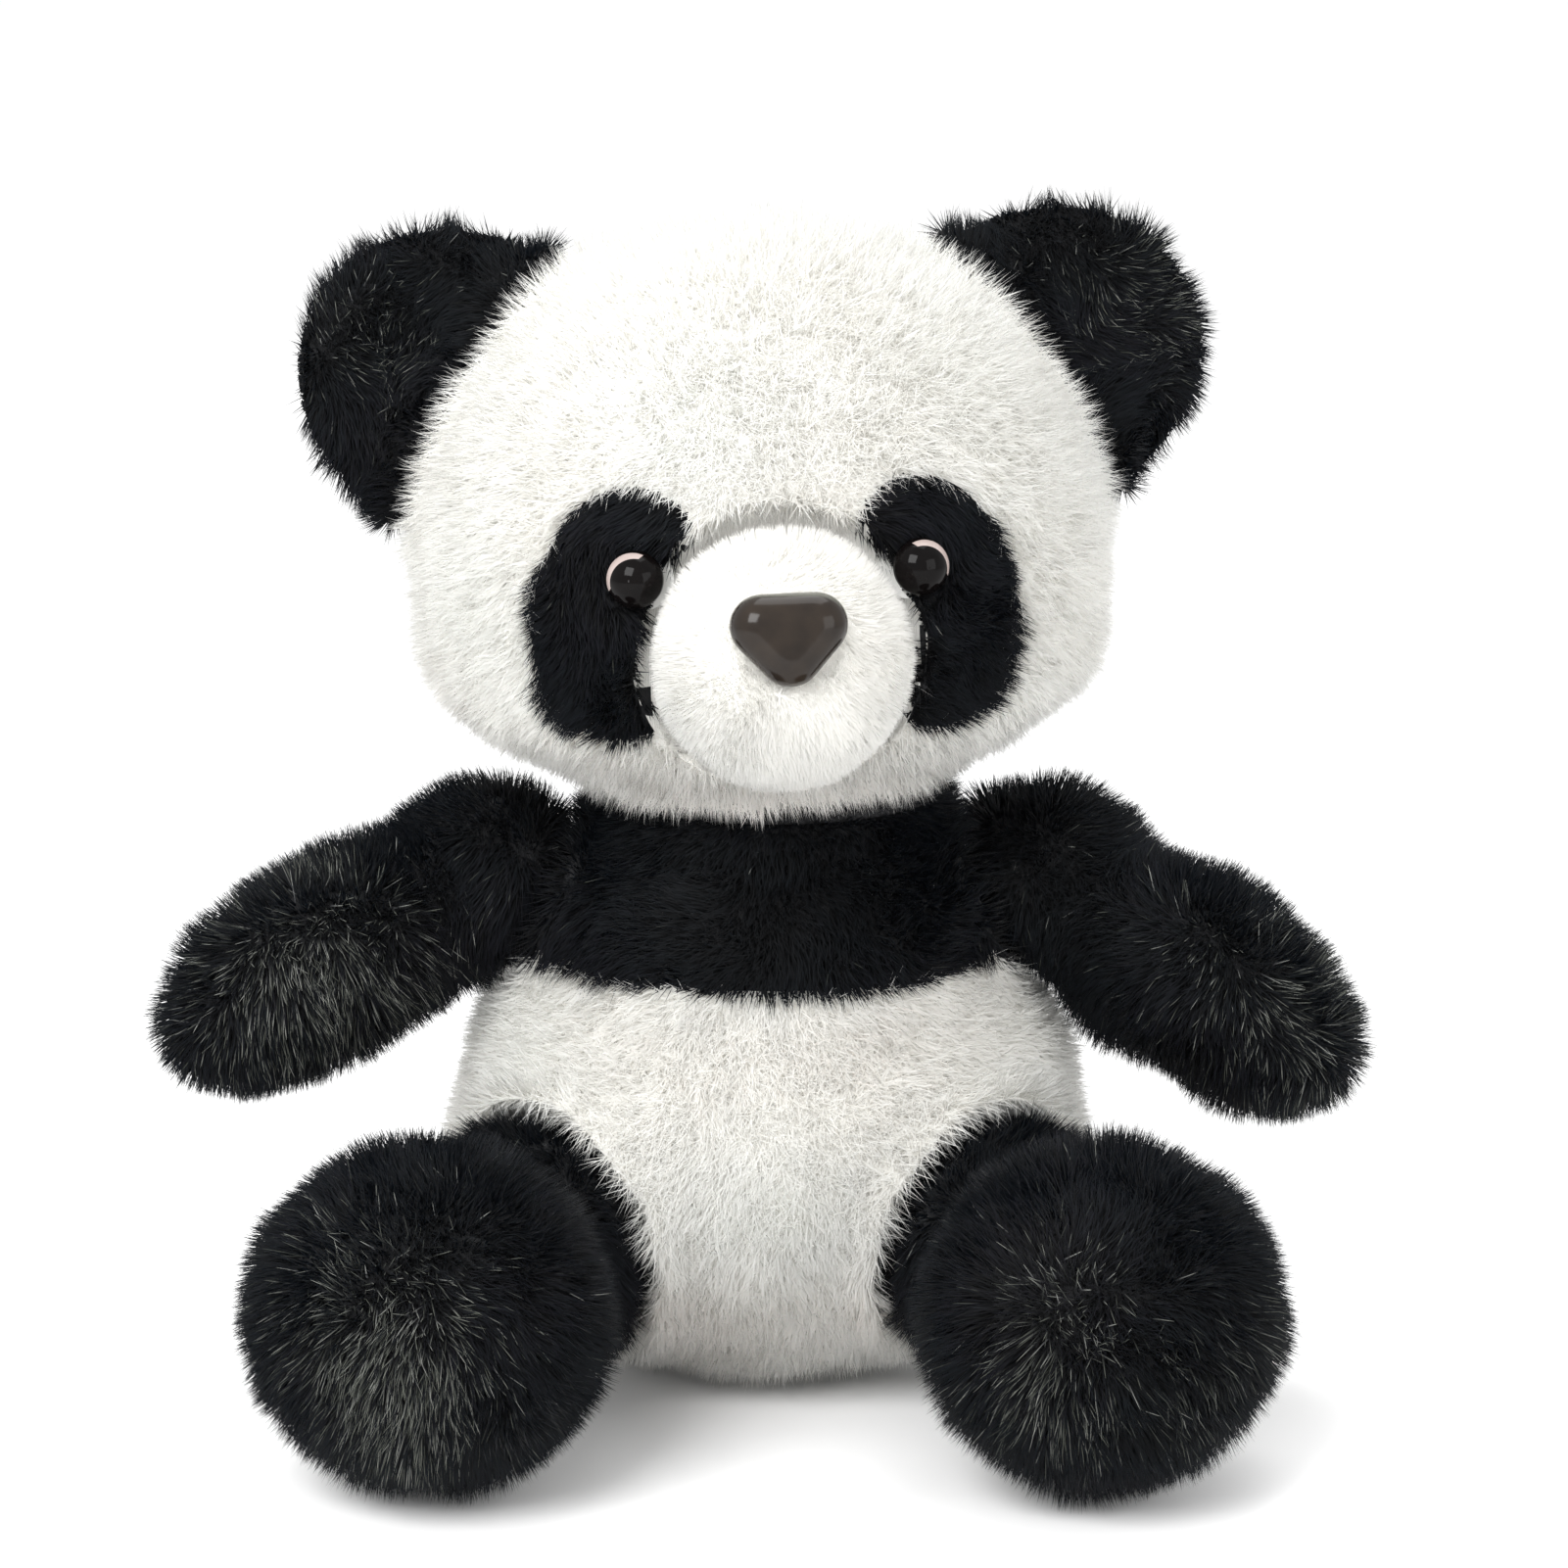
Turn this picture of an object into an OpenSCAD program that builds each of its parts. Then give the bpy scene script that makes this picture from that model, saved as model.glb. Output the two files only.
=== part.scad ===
// Sitting plush panda, in millimetres. +Z is up, and the toy looks along -Y.
// The origin is the middle of the flat face that it sits on.
// Left is -X and right is +X, as seen by someone who looks at the face.

/* [Plush] */
// Thickness of a plush panel, backing and standing pile together
plush_t = 8; // [6:0.5:10]
// Gap between a panel and the stuffing behind it
fill_gap = 0.3; // [0.2:0.1:0.5]
// Gap between a limb's round root and the socket around it
joint_gap = 0.6; // [0.4:0.1:1]

/* [Head] */
// Width of the head at its widest line
head_w = 160; // [132:1:192]
// Depth of the head without the muzzle
head_d = 128; // [106:1:156]
// Height of the crown above the widest line
head_up = 83; // [68:1:100]
// Depth of the flattened underside below the widest line
head_down = 51; // [44:1:54]
// How far the head sits in front of the neck's axis
head_forward = 4; // [0:1:8]
// Width of the wide ellipsoid that flattens the underside
jaw_w = 222; // [200:2:300]
// Turn of the head about the neck's axis as the toy is stored
head_turn = 4; // [-10:1:10]
// Sideways tilt of the head as the toy is stored
head_tilt = 2; // [-5:1:5]

/* [Face] */
// Width of the muzzle
muzzle_w = 55; // [46:1:68]
// Height of the muzzle
muzzle_h = 56; // [46:1:68]
// Half depth of the muzzle's round form
muzzle_r = 28; // [24:1:34]
// Distance of the muzzle's middle in front of the head's middle
muzzle_y = 57; // [50:1:62]
// Distance of the muzzle's middle below the widest line
muzzle_drop = 8; // [2:1:12]
// Width of an eye patch
patch_w = 41; // [34:1:50]
// Height of an eye patch
patch_h = 60; // [50:1:72]
// Sideways place of an eye patch's middle
patch_x = 35; // [30:0.5:40]
// Height of an eye patch's middle above the widest line
patch_rise = 0; // [-6:1:6]
// Lean of an eye patch towards the brow
patch_lean = 12; // [0:1:25]

/* [Eyes and nose] */
// Diameter of an eye's dome
eye_d = 12; // [9:0.5:15]
// Height of an eye's dome
eye_h = 4.6; // [3:0.1:5.5]
// Sideways place of an eye
eye_x = 30.5; // [26:0.5:35]
// Height of an eye above the widest line
eye_rise = 9.5; // [4:0.5:16]
// Depth of an eye's base below the pile's surface
eye_sink = 3; // [1:0.5:4]
// Width of the white crescent at an eye's edge
crescent_t = 0.9; // [0.5:0.1:1.4]
// Width of the nose
nose_w = 24; // [19:0.5:29]
// Height of the nose
nose_h = 19; // [16:0.5:23]
// How far the nose stands out of the muzzle
nose_out = 6; // [4:0.5:8]
// Diameter of the shanks behind the eyes and the nose
shank_d = 4.5; // [3.5:0.1:6]
// Length of the shanks
shank_l = 15; // [13:0.5:18]
// Diameter of the lock washers
washer_d = 14; // [11:0.5:17]
// Thickness of the lock washers
washer_t = 1.8; // [1.2:0.1:3]

/* [Ears] */
// Width of an ear along its seam
ear_w = 80; // [64:1:92]
// Height of an ear above its seam
ear_reach = 42; // [35:1:50]
// Thickness of an ear
ear_t = 20; // [16:0.5:22]
// Height of an ear's middle above the horizontal, as an angle at the head's middle
ear_angle = 34; // [28:1:44]
// How far the ears sit behind the head's middle
ear_back = 12; // [8:1:18]
// How deep an ear's seam lies in the head
ear_sink = 3; // [2:0.5:6]
// Depth of the cup in an ear's front
ear_cup = 5; // [3:0.5:6]

/* [Torso] */
// Width of the belly
belly_w = 150; // [125:1:180]
// Depth of the belly
belly_d = 130; // [108:1:156]
// Height of the belly's round form
belly_h = 120; // [112:1:130]
// Height of the belly's middle above the seat
belly_z = 52; // [48:1:54]
// Width of the chest
chest_w = 120; // [110:1:140]
// Depth of the chest
chest_d = 102; // [90:1:118]
// Height of the chest's round form
chest_h = 80; // [72:1:86]
// Height of the chest's middle above the seat
chest_z = 98; // [94:1:102]
// Radius of the round top that carries the head
neck_r = 56; // [50:1:60]
// Height of that round top's centre above the seat
neck_z = 90; // [86:1:94]
// How far the head sits to the right of the belly's middle
neck_side = 2; // [-4:0.5:4]
// Height of the seam between the black and the white plush
band_z = 96; // [88:1:102]
// Width of the seat panel
seat_w = 66; // [54:1:70]
// Depth of the seat panel
seat_d = 56; // [46:1:60]

/* [Arms] */
// Radius of an arm's round root
arm_root_r = 24; // [20:0.5:25]
// Thickness of an arm
arm_t = 53; // [46:1:60]
// Length of an arm from its joint to its tip
arm_l = 86; // [74:1:100]
// Distance of the shoulder joint outside the chest
shoulder_out = 5; // [1:0.5:8]
// Height of the shoulder joint above the seat
shoulder_z = 112; // [108:1:116]
// Drop of the left arm below the horizontal
arm_drop_left = 25; // [15:1:35]
// Drop of the right arm below the horizontal
arm_drop_right = 31; // [15:1:38]
// Forward swing of both arms
arm_swing = 27; // [15:1:45]

/* [Legs] */
// Radius of a leg's round root
leg_root_r = 29; // [25:0.5:31]
// Thickness of a leg at the ankle
ankle_t = 52; // [44:1:56]
// Width of a foot
foot_w = 84; // [70:1:94]
// Height of a foot
foot_h = 79; // [68:1:82]
// Length of a foot's round form
foot_l = 76; // [64:1:86]
// Distance from the hip joint to the foot's middle
leg_l = 51; // [48:1:60]
// Spread of a leg away from straight forward
leg_out = 19; // [8:1:30]
// How deep the hip joint lies in the belly, along its own direction
hip_in = 0; // [0:0.5:8]
// Direction of the hip joint from the belly's middle, away from straight forward
hip_angle = 51; // [44:1:58]
// Height of the hip joint above the seat
hip_z = 37; // [34:1:40]
// Distance from the foot's middle to the sole's seam
sole_from = 20; // [14:1:26]

/* [Tail and seat filling] */
// Diameter of the tail
tail_d = 28; // [22:1:34]
// Height of the tail's middle above the seat
tail_z = 22; // [18:1:30]
// Width of the pellet bag
bag_w = 56; // [46:1:68]
// Depth of the pellet bag
bag_d = 44; // [36:1:54]
// Height of the pellet bag
bag_h = 22; // [16:1:26]
// Thickness of the thread gathered around the neck
thread_d = 2.4; // [1.8:0.1:3]
// Radius of the ring that the neck's thread makes
thread_r = 36; // [32:1:40]

/* [Hidden] */
$fn = 96;

left = -1;
right = 1;
far = 800;
cut_gap = 0.1;
white = "ivory";
black = [0.07, 0.07, 0.08];
padding = "whitesmoke";
fill_t = plush_t + fill_gap;

neck_c = [neck_side, 0, neck_z];
neck_in_head = [0, 0, neck_z];
torso_top = neck_z + neck_r;
neck_socket = 18;
head_z = torso_top - neck_socket + head_down;
head_c = [0, -head_forward, head_z];
head_r = [head_w / 2, head_d / 2, head_up];
jaw_d = 210;
jaw_up = 95;
jaw_c = [0, -head_forward, head_z - head_down + jaw_up];
jaw_r = [jaw_w / 2, jaw_d / 2, jaw_up];

muzzle_c = head_c + [0, -muzzle_y, -muzzle_drop];
muzzle_radii = [muzzle_w / 2, muzzle_r, muzzle_h / 2];
nose_lift = 17;
nose_pitch = 12;
nose_corner_r = 6.5;
nose_back = 3;
nose_dir = [0, -cos(nose_lift), sin(nose_lift)];
eye_out = 15;
eye_up = 5;
flange_t = 1;
pocket_gap = 0.4;
crescent_r = eye_d / 2 - 0.4;
crescent_side = 135;

ear_root_r = ear_t / 2 + 1.5;
ear_dir = [cos(ear_angle), 0, sin(ear_angle)];
ear_shrink = sqrt(1 - pow(ear_back / head_r.y, 2));
ear_radius = along(head_r, ear_dir) * ear_shrink - ear_sink;
ear_y = head_c.y + ear_back;

belly_c = [0, 0, belly_z];
belly_r = [belly_w, belly_d, belly_h] / 2;
chest_c = [0, 0, chest_z];
chest_r = [chest_w, chest_d, chest_h] / 2;

arm_back = 6;
arm_mid = (arm_l - arm_back) / 2;
arm_half = (arm_l + arm_back) / 2;

hip_low = (hip_z - belly_z) / belly_r.z;
hip_dir = [sin(hip_angle), -cos(hip_angle), 0];
hip_reach = along(belly_r, hip_dir) * sqrt(1 - hip_low * hip_low) - hip_in;
leg_rise = asin((foot_h / 2 - 0.5 - hip_z) / leg_l);
ankle_half = 36;
ankle_mid = 24;

tail_y = belly_r.y * sqrt(1 - pow((tail_z - belly_z) / belly_r.z, 2)) + tail_d / 5;
thread_c_r = neck_r - thread_d / 2 - 0.2;
thread_z = neck_z + sqrt(pow(thread_c_r, 2) - pow(thread_r, 2));
bag_z = plush_t + bag_h / 2 + 6;

// Distance from an ellipsoid's middle to its surface along a unit direction
function along(r, dir) = 1 / norm([dir.x / r.x, dir.y / r.y, dir.z / r.z]);

// Depth of the face's surface at a sideways and an upward distance from the head's middle
function face_y(x, z) = head_c.y - head_r.y * sqrt(1 - pow(x / head_r.x, 2) - pow(z / head_r.z, 2));

function shoulder(side) = [side * (chest_w / 2 + shoulder_out), 0, shoulder_z];

function hip(side) = [side * hip_reach * hip_dir.x, hip_reach * hip_dir.y, hip_z];

module ball(c, r) {
    translate(c)
        sphere(r = r);
}

module ellipsoid(c, r) {
    translate(c)
        scale(r)
            sphere(r = 1);
}

// Everything on one side of a plane through a point, along +X, +Y or +Z of the current frame
module beyond(axis, at) {
    shift = [for (i = [0:2]) i == axis ? at : -far / 2];
    translate(shift)
        cube(far);
}

module before(axis, at) {
    shift = [for (i = [0:2]) i == axis ? at - far : -far / 2];
    translate(shift)
        cube(far);
}

// One side of the toy: the right side as drawn, the left side as its mirror image
module on_side(side) {
    if (side == right) children();
    else mirror([1, 0, 0]) children();
}

// A frame whose +Z points up by `up` and away from straight forward by `out`
module aimed(at, out, up) {
    translate(at)
        rotate([0, 90 - up, out - 90])
            children();
}

// ---- Head ----

module place_head() {
    translate(neck_c)
        rotate([0, -head_tilt, head_turn])
            translate(-neck_in_head)
                children();
}

module ear_frame(side) {
    translate([side * ear_radius * ear_dir.x, ear_y, head_c.z + ear_radius * ear_dir.z])
        rotate([0, side * (90 - ear_angle), 0])
            children();
}

// The head without its muzzle, taken in by `inset` all over, sockets included
module head_form(inset) {
    grow = joint_gap + inset;
    difference() {
        intersection() {
            ellipsoid(head_c, head_r - inset * [1, 1, 1]);
            ellipsoid(jaw_c, jaw_r - inset * [1, 1, 1]);
        }
        ball(neck_in_head, neck_r + grow);
        for (side = [left, right])
            ear_frame(side)
                ellipsoid([0, 0, 0], [ear_w / 2, ear_root_r, ear_root_r] + grow * [1, 1, 1]);
    }
}

// The poles of this one face forward and back, so that the cut at its root is a clean one
module muzzle_form(inset) {
    translate(muzzle_c)
        scale(muzzle_radii - inset * [1, 1, 1])
            rotate([90, 0, 0])
                sphere(r = 1);
}

// The upright oval outline of an eye patch, run through the front of the head
module patch_column(side) {
    on_side(side)
        translate([patch_x, head_c.y, head_c.z + patch_rise])
            rotate([0, -patch_lean, 0])
                rotate([90, 0, 0])
                    scale([patch_w / 2, patch_h / 2, 1])
                        cylinder(r = 1, h = head_d);
}

module head_shell() {
    difference() {
        head_form(0);
        head_form(plush_t);
    }
}

module face(side) {
    color(white)
        place_head()
            difference() {
                head_shell();
                beyond(1, ear_y);
                on_side(-side) beyond(0, 0);
                patch_column(side);
                muzzle_form(0);
            }
}

// The left panel as drawn, the right panel as its mirror image
module head_back(side) {
    color(white)
        place_head()
            on_side(-side)
                intersection() {
                    head_shell();
                    beyond(1, ear_y);
                    before(0, 0);
                }
}

module eye_frame(side) {
    on_side(side)
        aimed([eye_x, face_y(eye_x, eye_rise), head_c.z + eye_rise], eye_out, eye_up)
            children();
}

// Room for an eye's dome, its shank and its washer
module eye_room() {
    translate([0, 0, -eye_sink - flange_t])
        cylinder(d = eye_d + pocket_gap, h = 2 * eye_d);
    translate([0, 0, -shank_l - eye_sink])
        cylinder(d = shank_d + pocket_gap, h = shank_l + eye_sink);
}

module washer_room(deep) {
    translate([0, 0, -deep - 1])
        cylinder(d = washer_d + 1, h = deep);
}

module eye_patch(side) {
    color(black)
        place_head()
            difference() {
                intersection() {
                    head_shell();
                    patch_column(side);
                    before(1, ear_y);
                }
                muzzle_form(0);
                eye_frame(side) eye_room();
            }
}

module muzzle_skin() {
    color(white)
        place_head()
            difference() {
                muzzle_form(0);
                muzzle_form(plush_t);
                head_form(plush_t);
                nose_frame() nose_room();
                for (side = [left, right])
                    eye_frame(side) eye_room();
            }
}

module muzzle_stuffing() {
    color(padding)
        place_head()
            difference() {
                muzzle_form(fill_t);
                head_form(fill_t);
                nose_frame() washer_room(shank_l);
            }
}

module head_stuffing() {
    color(padding)
        place_head()
            difference() {
                head_form(fill_t);
                for (side = [left, right])
                    eye_frame(side) washer_room(shank_l + eye_sink);
            }
}

// The dome is a slice of a sphere with the eye's diameter and height
module eye_dome() {
    dome_r = (pow(eye_d / 2, 2) + pow(eye_h, 2)) / (2 * eye_h);
    intersection() {
        ball([0, 0, eye_h - dome_r], dome_r);
        cylinder(d = eye_d, h = eye_h);
    }
}

module crescent() {
    inner_r = crescent_r - crescent_t / 2;
    rotate([0, 0, crescent_side])
        difference() {
            cylinder(r = crescent_r, h = eye_h);
            translate([-crescent_t, 0, -1])
                cylinder(r = inner_r, h = eye_h + 2);
            translate([-far, -far / 2, -1])
                cube([far + eye_d / 6, far, eye_h + 2]);
        }
}

module eye(side) {
    color("black")
        place_head()
            eye_frame(side)
                difference() {
                    union() {
                        translate([0, 0, -eye_sink])
                            eye_dome();
                        translate([0, 0, -eye_sink - flange_t])
                            cylinder(d = eye_d, h = flange_t);
                        translate([0, 0, -shank_l - eye_sink + 1])
                            cylinder(d = shank_d, h = shank_l - 1);
                    }
                    translate([0, 0, -eye_sink])
                        crescent();
                }
}

module eye_white(side) {
    color("white")
        place_head()
            eye_frame(side)
                translate([0, 0, -eye_sink])
                    intersection() {
                        crescent();
                        eye_dome();
                    }
}

module washer(seat) {
    translate([0, 0, -seat - washer_t])
        difference() {
            cylinder(d = washer_d, h = washer_t);
            translate([0, 0, -1])
                cylinder(d = shank_d + cut_gap, h = washer_t + 2);
        }
}

module eye_washer(side) {
    color("gainsboro")
        place_head()
            eye_frame(side)
                washer(plush_t + 1);
}

module nose_frame() {
    aimed(muzzle_c + along(muzzle_radii, nose_dir) * nose_dir, 0, nose_pitch)
        children();
}

// A round-cornered triangle, wide at the top, domed towards +Z and flat at the back
module nose_form() {
    across = nose_w / 2 - nose_corner_r;
    top = nose_h / 2 - nose_corner_r;
    intersection() {
        hull()
            for (corner = [[-top, across], [-top, -across], [top, 0]])
                translate(corner)
                    scale([1, 1, nose_out / nose_corner_r])
                        sphere(r = nose_corner_r, $fn = 32);
        beyond(2, -nose_back);
    }
}

// An oval pocket in the pile behind the nose, with a bore for its shank
module nose_room() {
    scale([nose_h / 2 + pocket_gap, nose_w / 2 + pocket_gap, 1])
        translate([0, 0, -nose_back - pocket_gap / 2])
            cylinder(r = 1, h = muzzle_r);
    translate([0, 0, -shank_l])
        cylinder(d = shank_d + pocket_gap, h = shank_l);
}

module nose() {
    color([0.25, 0.24, 0.24])
        place_head()
            nose_frame() {
                nose_form();
                translate([0, 0, 1 - shank_l])
                    cylinder(d = shank_d, h = shank_l - 1);
            }
}

module nose_washer() {
    color("gainsboro")
        place_head()
            nose_frame()
                washer(plush_t + 3.5);
}

// ---- Ears ----

// A round flap that grows out of a spindle along its own hinge line
module ear_form() {
    difference() {
        union() {
            ellipsoid([0, 0, 0], [ear_w / 2, ear_root_r, ear_root_r]);
            intersection() {
                ellipsoid([0, 0, 0], [ear_w / 2 - 1, ear_t / 2, ear_reach]);
                beyond(2, 0);
            }
        }
        ellipsoid([0, -ear_t / 2, ear_reach * 0.48], [ear_w * 0.33, ear_cup, ear_reach * 0.42]);
    }
}

module ear_front(side) {
    color(black)
        place_head()
            ear_frame(side)
                intersection() {
                    ear_form();
                    before(1, 0);
                }
}

module ear_back(side) {
    color(black)
        place_head()
            ear_frame(side)
                intersection() {
                    ear_form();
                    beyond(1, 0);
                }
}

// ---- Torso ----

module thread_ring(grow) {
    translate([neck_side, 0, thread_z])
        rotate_extrude()
            translate([thread_r, 0])
                circle(d = thread_d + grow, $fn = 32);
}

module neck_thread() {
    color("dimgray")
        thread_ring(0);
}

module torso_form(inset) {
    grow = joint_gap + inset;
    difference() {
        union() {
            ellipsoid(belly_c, belly_r - inset * [1, 1, 1]);
            ellipsoid(chest_c, chest_r - inset * [1, 1, 1]);
            ball(neck_c, neck_r - inset);
        }
        for (side = [left, right]) {
            ball(shoulder(side), arm_root_r + grow);
            translate(hip(side)) rotate([90, 0, 0]) sphere(r = leg_root_r + grow);
        }
        before(2, inset);
    }
}

module torso_shell() {
    difference() {
        torso_form(0);
        torso_form(plush_t);
        thread_ring(2 * fill_gap);
    }
}

module seat_column() {
    scale([seat_w / 2, seat_d / 2, 1])
        translate([0, 0, -1])
            cylinder(r = 1, h = plush_t + 1);
}

module chest_skin() {
    color(black)
        intersection() {
            torso_shell();
            before(1, 0);
            beyond(2, band_z);
        }
}

module upper_back_skin() {
    color(black)
        intersection() {
            torso_shell();
            beyond(1, 0);
            beyond(2, band_z);
        }
}

module belly(side) {
    color(white)
        difference() {
            intersection() {
                torso_shell();
                before(1, 0);
                before(2, band_z);
                on_side(side) beyond(0, 0);
            }
            seat_column();
        }
}

module lower_back_skin() {
    color(white)
        difference() {
            intersection() {
                torso_shell();
                beyond(1, 0);
                before(2, band_z);
            }
            seat_column();
        }
}

module seat_panel() {
    color(white)
        intersection() {
            torso_shell();
            seat_column();
        }
}

module torso_stuffing() {
    color(padding)
        difference() {
            torso_form(fill_t);
            ellipsoid([0, 0, bag_z], [bag_w, bag_d, bag_h] / 2 + fill_gap * [1, 1, 1]);
        }
}

module pellet_bag() {
    color("tan")
        ellipsoid([0, 0, bag_z], [bag_w, bag_d, bag_h] / 2);
}

// A gathered tuft of the same plush, too small to be stuffed
module tail() {
    color(white)
        difference() {
            ball([0, tail_y, tail_z], tail_d / 2);
            torso_form(-fill_gap);
        }
}

// ---- Arms ----

function arm_drop(side) = side == left ? arm_drop_left : arm_drop_right;

// +X runs along the arm, and +Z points to its upper side
module arm_frame(side) {
    on_side(side)
        translate(shoulder(right))
            rotate([0, arm_drop(side), -arm_swing])
                children();
}

module arm_form(inset) {
    ball([0, 0, 0], arm_root_r - inset);
    ellipsoid([arm_mid, 0, 0], [arm_half, arm_t / 2, arm_t / 2] - inset * [1, 1, 1]);
}

module arm_shell() {
    difference() {
        arm_form(0);
        arm_form(plush_t);
    }
}

module arm_top(side) {
    color(black)
        arm_frame(side)
            intersection() {
                arm_shell();
                beyond(2, 0);
            }
}

module arm_under(side) {
    color(black)
        arm_frame(side)
            intersection() {
                arm_shell();
                before(2, 0);
            }
}

module arm_stuffing(side) {
    color(padding)
        arm_frame(side)
            arm_form(fill_t);
}

// ---- Legs ----

// +Z runs along the leg, and +Y points outwards
module leg_frame(side) {
    on_side(side)
        aimed(hip(right), leg_out, leg_rise)
            children();
}

module leg_form(side, inset) {
    difference() {
        leg_frame(side) {
            ball([0, 0, 0], leg_root_r - inset);
            ellipsoid([0, 0, ankle_mid], [ankle_t / 2, ankle_t / 2, ankle_half] - inset * [1, 1, 1]);
            ellipsoid([0, 0, leg_l], [foot_h, foot_w, foot_l] / 2 - inset * [1, 1, 1]);
        }
        before(2, inset);
    }
}

module leg_shell(side) {
    difference() {
        leg_form(side, 0);
        leg_form(side, plush_t);
    }
}

module leg_outer(side) {
    color(black)
        difference() {
            leg_shell(side);
            leg_frame(side) before(1, 0);
            leg_frame(side) beyond(2, leg_l + sole_from);
        }
}

module leg_inner(side) {
    color(black)
        difference() {
            leg_shell(side);
            leg_frame(side) beyond(1, 0);
            leg_frame(side) beyond(2, leg_l + sole_from);
        }
}

module sole(side) {
    color(black)
        intersection() {
            leg_shell(side);
            leg_frame(side) beyond(2, leg_l + sole_from);
        }
}

module leg_stuffing(side) {
    color(padding)
        leg_form(side, fill_t);
}

face(left);  // face_left
face(right);  // face_right
head_back(left);  // head_back_left
head_back(right);  // head_back_right
eye_patch(left);  // eye_patch_left
eye_patch(right);  // eye_patch_right
muzzle_skin();
muzzle_stuffing();
head_stuffing();
eye(left);  // eye_left
eye(right);  // eye_right
eye_white(left);  // eye_white_left
eye_white(right);  // eye_white_right
eye_washer(left);  // eye_washer_left
eye_washer(right);  // eye_washer_right
nose();
nose_washer();
ear_front(left);  // ear_left_front
ear_back(left);  // ear_left_back
ear_front(right);  // ear_right_front
ear_back(right);  // ear_right_back
neck_thread();
chest_skin();
upper_back_skin();
belly(left);  // belly_left
belly(right);  // belly_right
lower_back_skin();
seat_panel();
torso_stuffing();
pellet_bag();
tail();
arm_top(left);  // arm_left_top
arm_under(left);  // arm_left_under
arm_stuffing(left);  // arm_left_stuffing
arm_top(right);  // arm_right_top
arm_under(right);  // arm_right_under
arm_stuffing(right);  // arm_right_stuffing
leg_outer(left);  // leg_left_outer
leg_inner(left);  // leg_left_inner
sole(left);  // sole_left
leg_stuffing(left);  // leg_left_stuffing
leg_outer(right);  // leg_right_outer
leg_inner(right);  // leg_right_inner
sole(right);  // sole_right
leg_stuffing(right);  // leg_right_stuffing
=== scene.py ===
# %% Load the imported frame
import math

import bpy
import numpy as np
from mathutils import Matrix, Vector
from mathutils.bvhtree import BVHTree
from mathutils.kdtree import KDTree


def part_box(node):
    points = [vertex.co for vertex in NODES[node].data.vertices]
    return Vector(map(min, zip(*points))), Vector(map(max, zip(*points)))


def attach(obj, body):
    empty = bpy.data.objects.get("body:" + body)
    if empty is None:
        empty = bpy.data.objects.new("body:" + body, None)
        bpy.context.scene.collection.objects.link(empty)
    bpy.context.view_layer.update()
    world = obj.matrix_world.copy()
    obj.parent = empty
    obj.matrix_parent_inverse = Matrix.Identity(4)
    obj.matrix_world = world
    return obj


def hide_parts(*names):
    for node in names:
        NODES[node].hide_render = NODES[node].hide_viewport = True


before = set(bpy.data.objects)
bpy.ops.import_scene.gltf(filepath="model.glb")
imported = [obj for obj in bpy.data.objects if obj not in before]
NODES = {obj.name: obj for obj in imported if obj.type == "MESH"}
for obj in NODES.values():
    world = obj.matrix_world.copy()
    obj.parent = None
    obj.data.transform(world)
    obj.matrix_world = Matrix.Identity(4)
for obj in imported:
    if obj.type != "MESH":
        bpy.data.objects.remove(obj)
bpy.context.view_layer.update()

bpy.ops.object.select_all(action="DESELECT")

# %% [markdown]
# The toy is sewn from plush: a knitted backing with a thick pile of fine fibres on it, filled with
# loose polyester until it is round. It could be drawn as a bumpy solid, but the light on a real plush
# toy comes from countless separate fibres, and its outline is soft because of them. So each sewn
# body is made twice over here: first its backing, as padded cloth, and then its pile, as flat tapered
# strands that stand on that cloth. All lengths are in metres.

# %% Which panels make each sewn body
PILE = 0.0065  # how deep the backing lies under the ends of the pile
BODIES = {
    "head": ["face_left", "face_right", "head_back_left", "head_back_right",
             "eye_patch_left", "eye_patch_right"],
    "muzzle": ["muzzle_skin"],
    "torso": ["chest_skin", "upper_back_skin", "belly_left", "belly_right",
              "lower_back_skin", "seat_panel"],
    "tail": ["tail"],
}
FILLING = {"head": ["head_stuffing"], "muzzle": ["muzzle_stuffing"], "torso": ["torso_stuffing"], "tail": []}
RIDES_ON = {"head": "head", "muzzle": "head", "torso": "torso", "tail": "torso"}
for side in ("left", "right"):
    BODIES[f"arm_{side}"] = [f"arm_{side}_top", f"arm_{side}_under"]
    BODIES[f"leg_{side}"] = [f"leg_{side}_outer", f"leg_{side}_inner", f"sole_{side}"]
    BODIES[f"ear_{side}"] = [f"ear_{side}_front", f"ear_{side}_back"]
    FILLING[f"arm_{side}"] = [f"arm_{side}_stuffing"]
    FILLING[f"leg_{side}"] = [f"leg_{side}_stuffing"]
    FILLING[f"ear_{side}"] = []
    for limb in ("arm", "leg", "ear"):
        RIDES_ON[f"{limb}_{side}"] = f"{limb}_{side}"
DEPTH = {"muzzle": 0.0010, "ear_left": 0.0040, "ear_right": 0.0040, "tail": 0.0015}
BLACK_PANELS = ("eye_patch", "chest", "upper_back", "arm", "leg", "sole", "ear")


def is_black(node):
    return node.startswith(BLACK_PANELS)


# %% [markdown]
# Shader maths reads best as ordinary sums. This class wraps one socket, so that an expression on
# sockets adds its own Math nodes, and any other node comes from one method that takes the node's
# type, its settings and the values or links of its sockets.

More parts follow.
